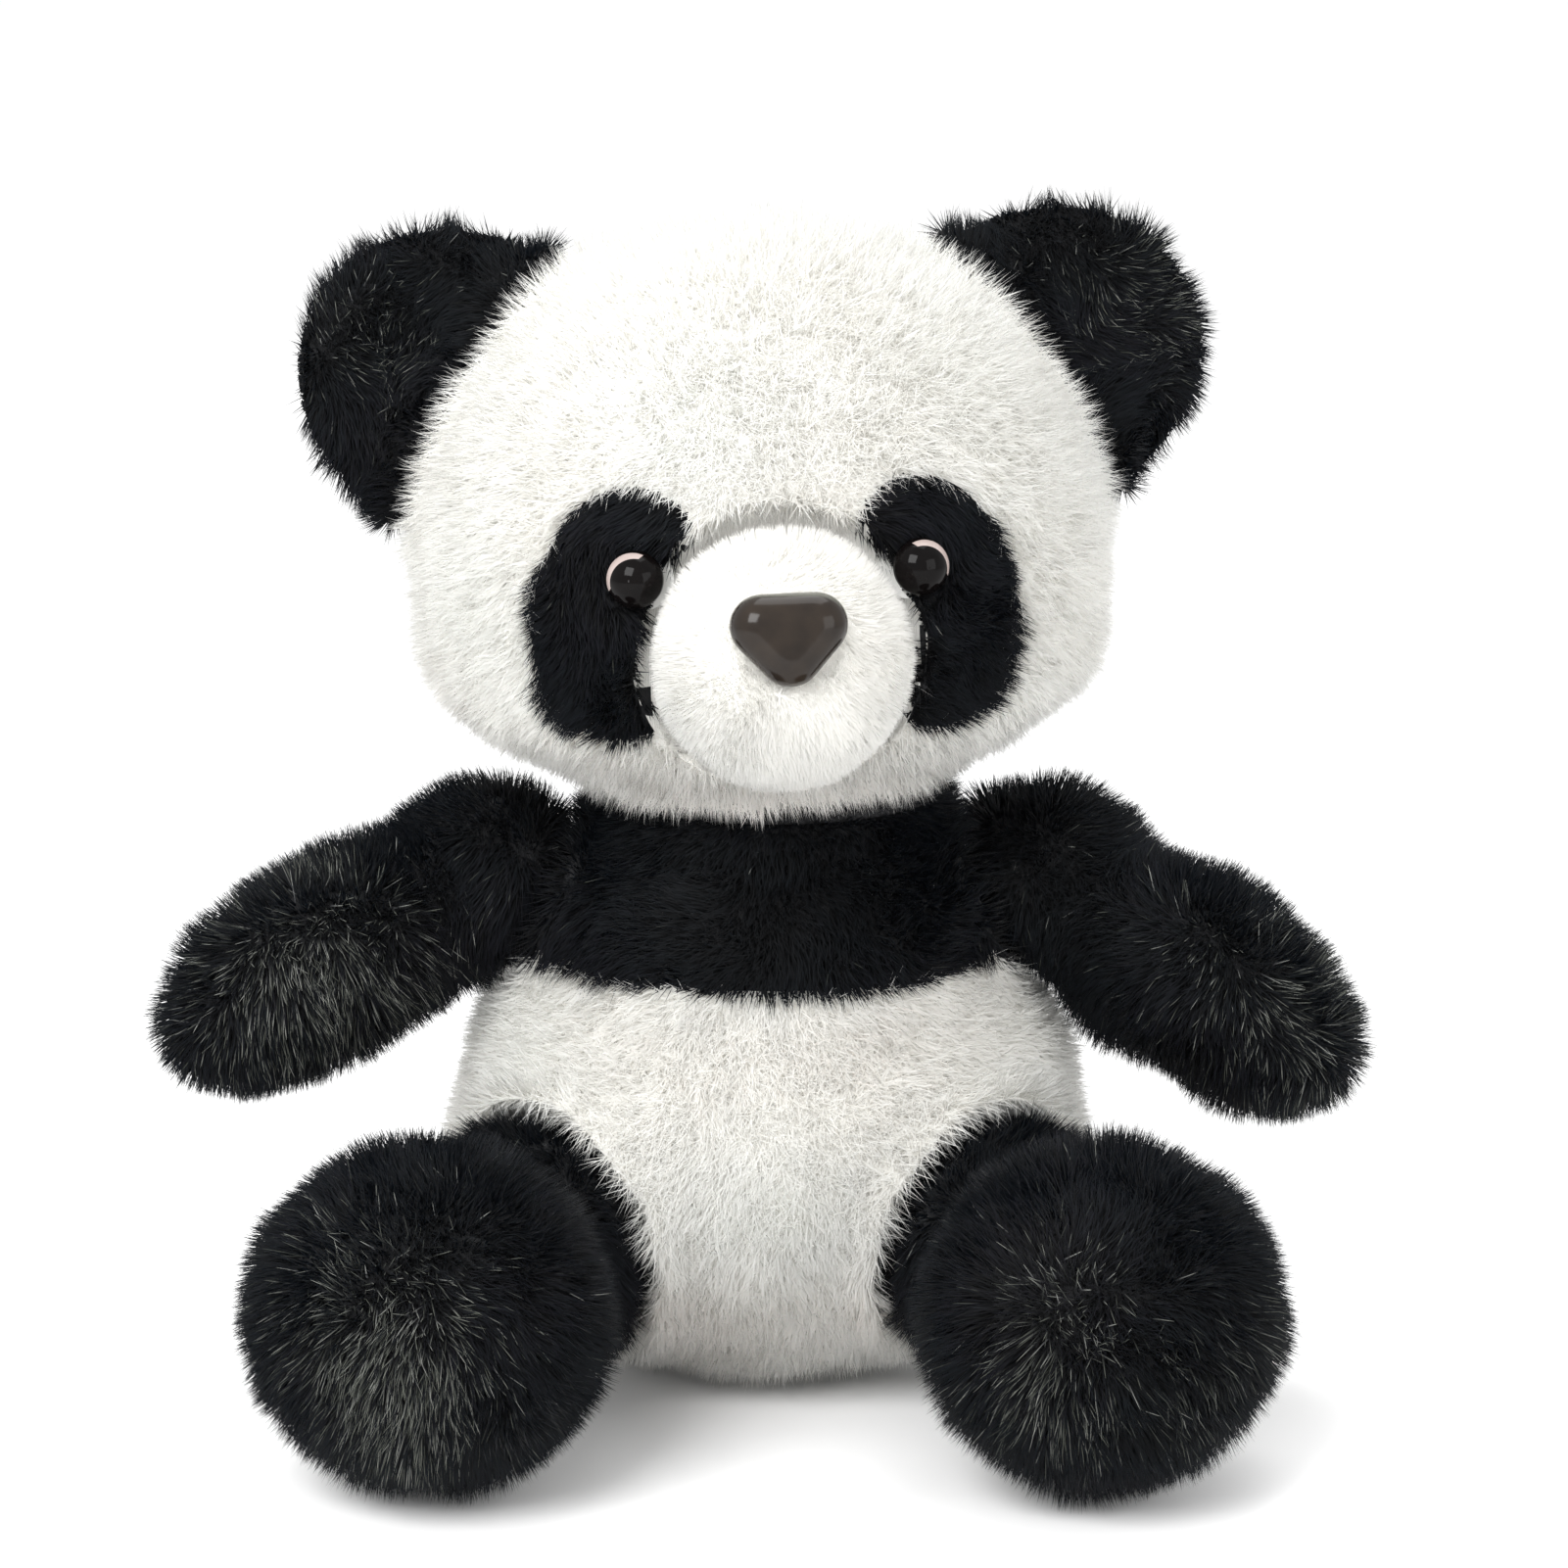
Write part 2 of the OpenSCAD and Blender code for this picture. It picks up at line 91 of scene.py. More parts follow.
# %% A small language for materials
class Sock:
    def __init__(self, mat, socket):
        self.mat, self.socket = mat, socket

    def _math(self, op, a, b):
        return self.mat.node("ShaderNodeMath", {"operation": op}, [a, b])

    def __add__(self, other): return self._math("ADD", self, other)
    def __radd__(self, other): return self._math("ADD", other, self)
    def __sub__(self, other): return self._math("SUBTRACT", self, other)
    def __rsub__(self, other): return self._math("SUBTRACT", other, self)
    def __mul__(self, other): return self._math("MULTIPLY", self, other)
    def __rmul__(self, other): return self._math("MULTIPLY", other, self)
    def __pow__(self, other): return self._math("POWER", self, other)


class Finish:
    """One material, built node by node."""

    def __init__(self, name):
        self.material = bpy.data.materials.new(name)
        self.material.use_nodes = True
        self.tree = self.material.node_tree
        self.tree.nodes.clear()
        self.shader = self.tree.nodes.new("ShaderNodeBsdfPrincipled")
        self.out = self.tree.nodes.new("ShaderNodeOutputMaterial")
        self.tree.links.new(self.shader.outputs["BSDF"], self.out.inputs["Surface"])

    def _feed(self, socket, value):
        if isinstance(value, Sock):
            self.tree.links.new(value.socket, socket)
        else:
            socket.default_value = value

    def node(self, kind, settings=None, inputs=(), out=0):
        n = self.tree.nodes.new(kind)
        for key, value in (settings or {}).items():
            if key == "stops":
                ramp = n.color_ramp.elements
                while len(ramp) < len(value):
                    ramp.new(0.5)
                for stop, (at, colour) in zip(ramp, value):
                    stop.position, stop.color = at, (*colour, 1)
            else:
                setattr(n, key, value)
        pairs = inputs.items() if isinstance(inputs, dict) else enumerate(inputs)
        for key, value in pairs:
            self._feed(n.inputs[key], value)
        return Sock(self, n.outputs[out])

    def mix(self, how, factor, a, b):
        return self.node("ShaderNodeMix", {"data_type": "RGBA", "blend_type": how},
                         {0: factor, 6: a, 7: b}, out=2)

    def set(self, **sockets):
        for name, value in sockets.items():
            self._feed(self.shader.inputs[name.replace("_", " ")], value)
        return self.material

    def let_through(self, colour, share):
        """Lets a share of the light pass through the surface, as thin fibres do."""
        behind = self.node("ShaderNodeBsdfTranslucent", {}, {"Color": colour})
        both = self.tree.nodes.new("ShaderNodeMixShader")
        both.inputs[0].default_value = share
        self.tree.links.new(self.shader.outputs["BSDF"], both.inputs[1])
        self.tree.links.new(behind.socket, both.inputs[2])
        self.tree.links.new(both.outputs["Shader"], self.out.inputs["Surface"])

    def place(self):
        return self.node("ShaderNodeTexCoord", out="Object")

    def noise(self, scale, detail=2.0):
        return self.node("ShaderNodeTexNoise", {}, {"Vector": self.place(), "Scale": scale,
                                                    "Detail": detail})

    def bump(self, height, distance, strength=1.0):
        return self.node("ShaderNodeBump", {}, {"Height": height, "Distance": distance,
                                                "Strength": strength})

    def strand_uv(self):
        """(u, v): which kind of fibre this strand is, and how far along it the point lies."""
        uv = self.node("ShaderNodeUVMap", {"uv_map": STRAND_UV})
        return self.part(uv, "X"), self.part(uv, "Y")

    def part(self, vector, axis):
        """One part of a vector socket: X, Y or Z."""
        return self.node("ShaderNodeSeparateXYZ", {}, [vector], out="XYZ".index(axis))


STRAND_UV = "OFBake"

# %% [markdown]
# White pile is never one white. Near the backing the fibres shade each other, so a strand darkens
# towards its root, and between one strand and the next the colour drifts from cool white to cream.
# A strand has no room for a picture, so its kind is stored as one number, u, and its length as v.

# %% The plush fibres
WHITE_KINDS = [(0.0, (0.84, 0.87, 0.84)), (0.3, (0.93, 0.935, 0.92)), (0.6, (0.95, 0.94, 0.91)),
               (0.85, (0.93, 0.87, 0.83)), (1.0, (0.88, 0.78, 0.73))]
# Black kinds from 0.7 up are pale: painted glints, which the steep painted root shade keeps to a strand's
# tip.
BLACK_KINDS = [(0.0, (0.003, 0.004, 0.007)), (0.25, (0.003, 0.009, 0.014)), (0.45, (0.008, 0.008, 0.018)),
               (0.62, (0.008, 0.009, 0.009)), (0.7, (0.06, 0.07, 0.06)), (0.85, (0.34, 0.36, 0.30)),
               (1.0, (0.85, 0.87, 0.80))]
SEE_THROUGH = 0.45  # how much of the light that reaches a fine fibre goes on through it


def plush(name, kinds, root_shade, root_tint, behind):
    f = Finish(name)
    u, v = f.strand_uv()
    kind = f.node("ShaderNodeValToRGB", {"stops": kinds}, [u])
    shaded = f.mix("MULTIPLY", 1.0, kind, f.mix("MIX", v ** root_shade, (*root_tint, 1), (1, 1, 1, 1)))
    f.shader.inputs["Sheen Weight"].default_value = 0.25
    f.shader.inputs["Sheen Roughness"].default_value = 0.5
    f.shader.inputs["Specular IOR Level"].default_value = 0.25
    f.let_through((*behind, 1), SEE_THROUGH)
    return f.set(Base_Color=shaded, Roughness=0.85 - 0.25 * v)


WHITE_FIBRE = plush("white_plush_pile", WHITE_KINDS, 0.5, (0.94, 0.93, 0.90), (0.94, 0.93, 0.90))
BLACK_FIBRE = plush("black_plush_pile", BLACK_KINDS, 2.4, (0.10, 0.10, 0.12), (0.005, 0.008, 0.013))
BLACK_FIBRE.node_tree.nodes["Principled BSDF"].inputs["Sheen Weight"].default_value = 0.08

# %% [markdown]
# The backing is a fine warp knit. Hardly any of it shows, but where the pile parts it must not shine
# through as a bare shell, so it gets the knit's tiny wales as a bump and a mottled colour.

# %% The knitted backing


def backing(name, dark, light):
    f = Finish(name)
    knit = f.node("ShaderNodeTexWave", {"wave_type": "BANDS", "bands_direction": "X"},
                  {"Vector": f.place(), "Scale": 900.0, "Distortion": 4.0, "Detail": 2.0})
    tone = f.mix("MIX", f.noise(160.0), (*dark, 1), (*light, 1))
    return f.set(Base_Color=tone, Roughness=0.95, Normal=f.bump(knit, 0.0003, 0.6))


WHITE_BACKING = backing("white_knit_backing", (0.84, 0.83, 0.79), (0.92, 0.91, 0.88))
BLACK_BACKING = backing("black_knit_backing", (0.004, 0.004, 0.005), (0.012, 0.013, 0.015))

# %% [markdown]
# Much depends on what lies near a spot: the panel above a root gives a strand its colour, and a body
# close by, such as an arm in its socket, leaves less room for pile. Both are found by casting rays at
# the panels' own surfaces, so the patches, the band and the muzzle lie where the pattern has them.

# %% Ray targets
def positions(mesh):
    co = np.empty(len(mesh.vertices) * 3)
    mesh.vertices.foreach_get("co", co)
    return co.reshape(-1, 3)


def normals_of(mesh):
    no = np.empty(len(mesh.vertices) * 3)
    mesh.vertices.foreach_get("normal", no)
    return no.reshape(-1, 3)


def put(mesh, co):
    mesh.vertices.foreach_set("co", co.ravel())
    mesh.update()


def ray_target(nodes):
    """One search tree over several nodes, and the node each triangle came from."""
    verts, faces, owner, start = [], [], [], 0
    for n in nodes:
        mesh = NODES[n].data
        verts.append(positions(mesh))
        mesh.calc_loop_triangles()
        tris = np.empty(len(mesh.loop_triangles) * 3, dtype=np.int64)
        mesh.loop_triangles.foreach_get("vertices", tris)
        faces.append(tris.reshape(-1, 3) + start)
        owner += [n] * len(mesh.loop_triangles)
        start += len(mesh.vertices)
    tree = BVHTree.FromPolygons(np.concatenate(verts).tolist(), np.concatenate(faces).tolist())
    return tree, owner


PANELS = {name: ray_target(panels + (["muzzle_skin"] if name == "head" else []))
          for name, panels in BODIES.items()}
OTHERS = {}
for name in BODIES:
    others = [n for other, panels in BODIES.items() for n in panels
              if RIDES_ON[other] != RIDES_ON[name]]
    OTHERS[name] = ray_target(others)[0]


PAST_SKIN = 0.004  # how far beyond the skin a needle starts
WIDE_OPEN = 0.02  # room further than this makes no difference


def panel_above(name, at, normal, reach):
    """The panel that a needle pushed straight in towards this root meets, or else the nearest one."""
    tree, owner = PANELS[name]
    hit = tree.ray_cast(Vector(at + normal * reach), Vector(-normal), reach * 1.5)
    if hit[2] is None:
        hit = tree.find_nearest(Vector(at))
    return owner[hit[2]]


def room_round(name, mesh):
    """How far each corner of this mesh is from the nearest body that moves against it."""
    gap = [OTHERS[name].find_nearest(Vector(p), WIDE_OPEN)[3] for p in positions(mesh)]
    return np.array([WIDE_OPEN if g is None else g for g in gap])


# %% [markdown]
# A padded body is made as a sewer makes it: the panels are closed into one bag, and the bag is blown
# up from inside. A copy of the panels is fused by a voxel remesh, drawn in by the depth of the pile,
# swelled by the Cloth modifier's pressure, held to a small movement so that it keeps its pattern's
# shape, and subdivided once.

# %% Padded cloth
VOXEL, FINE_VOXEL = 0.0038, 0.0024
SWELL = 0.0012  # what the swelling gives back, drawn in beforehand
MAX_MOVE = 0.0025  # how far the swelling may move a point
TIGHT = 0.0022  # how deep a backing lies beside a body that moves against it
CLOSE, OPEN_WIDTH = 0.002, 0.007  # the room at which it starts to lie deeper, and over how much room
SIM_FRAMES = 20
MOVE_SHARE = 0.4  # a point moves no more than this share of how deep it lies


def fused_copy(name, nodes, voxel):
    """One closed mesh round copies of these nodes, remade in squares of one size."""
    bpy.ops.object.select_all(action="DESELECT")
    copies = []
    for n in nodes:
        o = NODES[n].copy()
        o.data = o.data.copy()
        bpy.context.collection.objects.link(o)
        o.hide_viewport = False
        copies.append(o)
    for o in copies:
        o.select_set(True)
    bpy.context.view_layer.objects.active = copies[0]
    if len(copies) > 1:
        bpy.ops.object.join()
    o = bpy.context.view_layer.objects.active
    o.name = name
    o.data.name = name
    for key in [k for k in o.keys() if k.startswith("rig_")]:
        del o[key]
    o.parent = None
    o.matrix_world = Matrix.Identity(4)
    o.data.materials.clear()
    remesh = o.modifiers.new("Fuse", "REMESH")
    remesh.mode, remesh.voxel_size = "VOXEL", voxel
    bpy.ops.object.modifier_apply(modifier=remesh.name)
    return o


def swell(obj, cap, pressure=4.0):
    """Blows the closed bag up with Blender's Cloth, and keeps each point near where it was."""
    start = positions(obj.data)
    bpy.context.view_layer.objects.active = obj
    cloth = obj.modifiers.new("Cloth", "CLOTH")
    cloth.settings.quality = 4
    cloth.settings.use_pressure = True
    cloth.settings.uniform_pressure_force = pressure
    cloth.settings.effector_weights.gravity = 0.0
    cloth.point_cache.frame_start, cloth.point_cache.frame_end = 1, SIM_FRAMES
    for frame_number in range(1, SIM_FRAMES + 1):
        bpy.context.scene.frame_set(frame_number)
    bpy.ops.object.modifier_apply(modifier=cloth.name)
    bpy.context.scene.frame_set(1)
    move = positions(obj.data) - start
    far = np.linalg.norm(move, axis=1, keepdims=True)
    put(obj.data, start + move * np.minimum(1.0, cap / np.maximum(far, 1e-9)))


def spread(mesh, value, rounds):
    """Evens out a value between neighbouring corners of a mesh."""
    edges = np.empty(len(mesh.edges) * 2, dtype=np.int64)
    mesh.edges.foreach_get("vertices", edges)
    a, b = edges.reshape(-1, 2).T
    count = np.bincount(np.concatenate([a, b]), minlength=len(value))
    for _ in range(rounds):
        total = np.bincount(a, value[b], len(value)) + np.bincount(b, value[a], len(value))
        value = (value + total / np.maximum(count, 1)) / 2
    return value


def padded_body(name, nodes, depth, voxel=VOXEL, near=None):
    """The backing of one body. Beside a body that moves against it, it lies close under its skin."""
    bag = fused_copy(name, nodes, voxel)
    for _ in range(2):
        relax = bag.modifiers.new("Relax", "SMOOTH")
        relax.factor, relax.iterations = 0.5, 2
        bpy.ops.object.modifier_apply(modifier=relax.name)
    below = np.full(len(bag.data.vertices), depth + SWELL)
    if near:
        room = room_round(near, bag.data)
        below = TIGHT + (below - TIGHT) * np.clip((room - CLOSE) / OPEN_WIDTH, 0, 1)
        below = spread(bag.data, below, 4)
    put(bag.data, positions(bag.data) - normals_of(bag.data) * below[:, None])
    swell(bag, np.minimum(MAX_MOVE, below * MOVE_SHARE)[:, None])
    sub = bag.modifiers.new("Subdivision", "SUBSURF")
    sub.levels = sub.render_levels = 1
    bpy.ops.object.modifier_apply(modifier=sub.name)
    bag.data.shade_smooth()
    return bag


# %% Make every padded body
bags = {}
for name, panels in BODIES.items():
    depth = DEPTH.get(name, PILE)
    size = FINE_VOXEL if name.startswith(("ear", "muzzle", "tail")) else VOXEL
    bags[name] = padded_body(f"{name}_backing", panels + FILLING[name], depth, size, name)
    print(name, "backing:", len(bags[name].data.polygons), "faces")

# %% [markdown]
# A pile is combed by handling: neighbours lean the same way, a few degrees off from the next lock,
# and their tips draw together into soft clumps. Each strand's direction is its backing's normal,
# plus a smooth field that drifts across the body, plus a little chance. Then each tip is drawn towards
# the tip of the clump it belongs to. Every chance value comes from a seeded generator.

# %% Smooth fields and strands
WAVES, WAVE_SUM = 6, 2.45  # waves in a field, and what brings their sum to about one
CLUMP_SHARE = 0.012  # the share of the strands that lead a clump
APART = 0.25  # how much of their distance at the root the tips of a clump keep
ROOT = 0.0008  # how far a strand's root goes into its backing
TWIST = 0.35  # how far chance turns a strand about its own length
SOFTNESS = 0.8  # how far a strand is shaded like the cloth under it
GLINT = 0.06  # how far chance tilts its shading


def drift(seed, wavelength):
    """A smooth random vector field: a few waves of about that length, in random directions."""
    rng = np.random.default_rng(seed)
    k = rng.normal(size=(3, WAVES, 3))
    k *= 2 * math.pi / wavelength / np.linalg.norm(k, axis=2, keepdims=True)
    phase = rng.uniform(0, 2 * math.pi, (3, WAVES))
    return lambda p: np.stack([np.sin(p @ k[i].T + phase[i]).sum(1) for i in range(3)], 1) / WAVE_SUM


def scatter(mesh, density, rng):
    """Random points all over a mesh, about density of them on each square metre, with normals."""
    mesh.calc_loop_triangles()
    tri = np.empty(len(mesh.loop_triangles) * 3, dtype=np.int64)
    mesh.loop_triangles.foreach_get("vertices", tri)
    tri = tri.reshape(-1, 3)
    co, no = positions(mesh), normals_of(mesh)
    a, b, c = co[tri[:, 0]], co[tri[:, 1]], co[tri[:, 2]]
    area = np.linalg.norm(np.cross(b - a, c - a), axis=1) / 2
    count = int(area.sum() * density)
    pick = rng.choice(len(tri), count, p=area / area.sum())
    s, t = np.sqrt(rng.random(count)), rng.random(count)
    w = np.stack([1 - s, s * (1 - t), s * t], 1)[:, :, None]
    at = (co[tri[pick]] * w).sum(1)
    normal = (no[tri[pick]] * w).sum(1)
    return at, normal / np.linalg.norm(normal, axis=1, keepdims=True), tri[pick], w[:, :, 0]


def unit(v):
    return v / np.maximum(np.linalg.norm(v, axis=1, keepdims=True), 1e-9)


def clumped(at, tips, spacing, pull, rng):
    """Draws each tip towards the tip of the nearest clump's own middle strand."""
    leaders = rng.choice(len(at), max(int(len(at) * CLUMP_SHARE), 4), replace=False)
    tree = KDTree(len(leaders))
    for i, j in enumerate(leaders):
        tree.insert(at[j], i)
    tree.balance()
    near = np.array([leaders[tree.find(p)[1]] for p in at])
    gap = np.linalg.norm(at - at[near], axis=1)
    grip = pull[:, None] * np.exp(-(gap / spacing) ** 2)[:, None]
    return tips + (tips[near] - (at[near] - at) * APART - tips) * grip


def strand_mesh(name, at, tips, normal, width, kind, rng, material):
    """One mesh of flat tapered strands, one face each, that look outwards and shade like the cloth
    they stand on. Each strand's kind and length go into its UV map."""
    n = len(at)
    along = unit(tips - at)
    side = unit(np.cross(along, normal) + rng.normal(size=(n, 3)) * TWIST)
    side = unit(side - along * (side * along).sum(1, keepdims=True))
    co = np.empty((n, 3, 3))
    co[:, 0] = at - side * (width / 2)[:, None] - along * ROOT
    co[:, 1] = at + side * (width / 2)[:, None] - along * ROOT
    co[:, 2] = tips
    facing = np.cross(side, along)
    flip = (facing * normal).sum(1) < 0
    co[flip, 0], co[flip, 1] = co[flip, 1].copy(), co[flip, 0].copy()
    facing[flip] *= -1
    mesh = bpy.data.meshes.new(name)
    mesh.vertices.add(n * 3)
    mesh.vertices.foreach_set("co", co.ravel())
    mesh.loops.add(n * 3)
    mesh.loops.foreach_set("vertex_index", np.arange(n * 3, dtype=np.int32))
    mesh.polygons.add(n)
    mesh.polygons.foreach_set("loop_start", np.arange(0, n * 3, 3, dtype=np.int32))
    uv = np.empty((n, 3, 2))
    uv[:, :, 0] = kind[:, None]
    uv[:, :, 1] = np.array([0.01, 0.01, 0.99])[None]
    mesh.uv_layers.new(name=STRAND_UV)
    mesh.uv_layers[0].data.foreach_set("uv", uv.ravel())
    mesh.materials.append(material)
    mesh.update(calc_edges=True)
    mesh.shade_smooth()
    shade = unit(normal * SOFTNESS + facing * (1 - SOFTNESS) + rng.normal(size=(n, 3)) * GLINT)
    mesh.normals_split_custom_set_from_vertices(shade.repeat(3, 0).tolist())
    obj = bpy.data.objects.new(name, mesh)
    bpy.context.collection.objects.link(obj)
    return obj


# %% [markdown]
# Each body's pile has its own character: the white is dense and soft, the black on the limbs is longer
# and shaggier, the muzzle is clipped very short, and the fibres lean over the edges of the eyes and are
# pushed aside by the nose. A style is the strands on a square metre, how long and wide they are, how
# far they lean, how strongly they drift and clump, and the way they lie.

# %% Styles of pile
STYLES = {
    "white": dict(density=4.0e6, length=0.0076, width=0.00038, lean=0.45, drift=0.16, chance=0.80,
                  clump=0.50, clump_size=0.0026, comb=(0, -0.1, -1.0)),
    "black": dict(density=3.4e6, length=0.0080, width=0.00044, lean=0.46, drift=0.28, chance=0.34,
                  clump=0.45, clump_size=0.0032, comb=(0, -0.2, -1.0)),
    "patch": dict(density=4.9e6, length=0.0070, width=0.00042, lean=0.45, drift=0.35, chance=0.34,
                  clump=0.35, clump_size=0.0026, comb=(0, -0.1, -1.0)),
    "muzzle": dict(density=5.6e6, length=0.0031, width=0.00040, lean=0.55, drift=0.22, chance=0.22,
                   clump=0.15, clump_size=0.002, comb=(0, 0.6, -0.6)),
    "tail": dict(density=5.0e6, length=0.0052, width=0.00036, lean=0.4, drift=0.20, chance=0.80,
                 clump=0.45, clump_size=0.0026, comb=(0, 0, -1.0)),
    "ear": dict(density=4.5e6, length=0.0068, width=0.00042, lean=0.45, drift=0.40, chance=0.34,
                clump=0.45, clump_size=0.003, comb=(0, -0.1, -0.3)),
}
THINNER = {"seat_panel": 0.25, "head_back": 0.65, "lower_back": 0.65, "upper_back": 0.8}


def centre(node):
    lo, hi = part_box(node)
    return np.array((lo + hi) / 2)


EYES = [centre("eye_left"), centre("eye_right")]
NOSE = centre("nose")
MUZZLE, MUZZLE_MIDDLE, MUZZLE_REACH = ray_target(["muzzle_skin"])[0], centre("muzzle_skin"), 0.045


def style_of(panel):
    if panel.startswith("eye_patch"):
        return "patch"
    if panel.startswith("muzzle"):
        return "muzzle"
    if panel.startswith("ear"):
        return "ear"
    if panel == "tail":
        return "tail"
    return "black" if is_black(panel) else "white"


TIGHT_ROOM, TIGHT_SHARE = 0.003, 0.5  # with less room than this, only this share of the strands fits
LONG_WAVE, SHORT_WAVE, SHORT_SHARE = 0.045, 0.013, 0.8  # the two fields, and the second one's strength
CHANCE = 0.6  # scales every style's chance lean
SHORTEST, LENGTH_RANGE, LENGTH_DRIFT = 0.78, 0.34, 0.10  # shares of a style's length
SEAM_SHARE = 0.80  # how long a strand is beside a seam
STUB, STOP_SHORT = 0.002, 0.98  # a squeezed strand's least length, and how much of its room it takes


def survey(name):
    """For each corner of a backing: the panel above it, and how far away a neighbour's surface is."""
    mesh, depth = bags[name].data, DEPTH.get(name, PILE)
    above, gap = [], []
    for p, n in zip(positions(mesh), normals_of(mesh)):
        panel = panel_above(name, p, n, depth + PAST_SKIN)
        above.append(BODIES[name].index(panel) if panel in BODIES[name] else -1)
        hit = OTHERS[name].ray_cast(Vector(p), Vector(n), WIDE_OPEN)
        gap.append(WIDE_OPEN if hit[3] is None else hit[3])
    return np.array(above), np.array(gap)


def grow(name, seed):
    """Stands the pile of one body on its backing, and returns its strands panel by panel."""
    rng = np.random.default_rng(seed)
    depth, panels = DEPTH.get(name, PILE), BODIES[name]
    above, gap = survey(name)
    thin = 1.0
    top = max(STYLES[style_of(p)]["density"] for p in panels) * thin
    at, normal, corner, weight = scatter(bags[name].data, top, rng)
    luck = rng.random(len(at))
    room = (gap[corner] * weight).sum(1)
    owner = above[corner[:, 0]]
    mixed = (above[corner] != owner[:, None]).any(1)
    for i in np.flatnonzero(mixed):
        panel = panel_above(name, at[i], normal[i], depth + PAST_SKIN)
        owner[i] = panels.index(panel) if panel in panels else -1
    tight = room < TIGHT_ROOM
    made = []
    field, fine = drift(seed + 1, LONG_WAVE), drift(seed + 2, SHORT_WAVE)
    for index, panel in enumerate(panels):
        s = STYLES[style_of(panel)]
        thinner = next((share for start, share in THINNER.items() if panel.startswith(start)), 1.0)
        share = s["density"] * thin * thinner / top
        mine = (owner == index) & (luck < share * np.where(tight, TIGHT_SHARE, 1.0))
        if not mine.any():
            continue
        p, n, free = at[mine], normal[mine], room[mine]
        count = len(p)
        comb = np.array(s["comb"], float)[None].repeat(count, 0)
        lie = comb - n * (comb * n).sum(1, keepdims=True)
        wave = field(p) * s["drift"] + fine(p) * s["drift"] * SHORT_SHARE
        wave -= n * (wave * n).sum(1, keepdims=True)
        way = unit(n + lie * s["lean"] + wave + rng.normal(size=(count, 3)) * s["chance"] * CHANCE)
        length = s["length"] * (SHORTEST + LENGTH_RANGE * rng.random(count))
        length = length * (1 + LENGTH_DRIFT * fine(p * 0.7)[:, 0])
        length = np.minimum(length, np.maximum(free * STOP_SHORT, STUB))
        length = np.where(mixed[mine], length * SEAM_SHARE, length)
        if name == "head":
            length = held_off(p, way, length)
        way, length, keep = parted(p, way, length)
        p, n, way, length = p[keep], n[keep], way[keep], length[keep]
        tips = p + way * length[:, None]
        pull = s["clump"] * (0.6 + 0.4 * np.sin(fine(p)[:, 1] * 3))
        tips = clumped(p, tips, s["clump_size"], pull, rng)
        kind = fibre_kind(panel, p, rng)
        width = s["width"] * (0.75 + 0.5 * rng.random(len(p)))
        made.append((panel, p, tips, n, width, kind, rng))
    return made


def held_off(p, way, length):
    """The face's fibres stop short of the muzzle, which stands in front of them."""
    for i in np.flatnonzero(np.linalg.norm(p - MUZZLE_MIDDLE, axis=1) < MUZZLE_REACH):
        far = MUZZLE.ray_cast(Vector(p[i]), Vector(way[i]), length[i])[3]
        if far is not None:
            length[i] = max(far * 0.8, 0.001)
    return length


# middle, how near to it no fibre grows, how near to it fibres are bent, and how far: below 0, towards it
PARTINGS = [(EYES[0], 0.0054, 0.0090, -1.0), (EYES[1], 0.0054, 0.0090, -1.0), (NOSE, 0.0075, 0.0115, 0.7)]
FLATTENED = 0.35  # how much a distance from front to back counts here


def parted(p, way, length):
    """Fibres lean over an eye's edge and are pushed aside by the nose; none grow under either."""
    keep = np.ones(len(p), bool)
    for middle, bare, soft, aside in PARTINGS:
        away = p - middle
        away[:, 1] *= FLATTENED
        far = np.linalg.norm(away, axis=1)
        near = np.clip((soft - far) / (soft - bare), 0, 1)[:, None]
        way = unit(way * (1 - near * 0.5 * (aside > 0)) + unit(away) * near * aside)
        length = length * (1 - (0.35 if aside > 0 else 0.1) * near[:, 0])
        keep &= far > bare
    return way, length, keep


# %% [markdown]
# In the black pile some fibres have pale tips, painted glints where the pile catches the light. They
# stand thinly everywhere, and thickly in a fan on one hand, along the other arm's outer edge and down
# the front of one foot. Low on the face and belly the white fibres get painted shade, a darker cream.

# %% Which kind each fibre is
PAINTED_GLINTS = [  # middle of a place of painted glints, how far it reaches, and what share of its strands glint
    ((-0.098, -0.034, 0.098), 0.021, 0.45), ((0.134, -0.030, 0.096), 0.027, 0.50),
    ((-0.084, -0.125, 0.053), 0.017, 0.46), ((-0.074, -0.125, 0.034), 0.017, 0.46),
    ((0.056, -0.125, 0.030), 0.011, 0.40), ((0.090, -0.125, 0.032), 0.012, 0.34),
    ((0.112, -0.105, 0.042), 0.011, 0.34), ((0.060, -0.120, 0.050), 0.009, 0.34),
    ((-0.085, 0.000, 0.232), 0.010, 0.16), ((0.088, 0.005, 0.242), 0.018, 0.20),
]


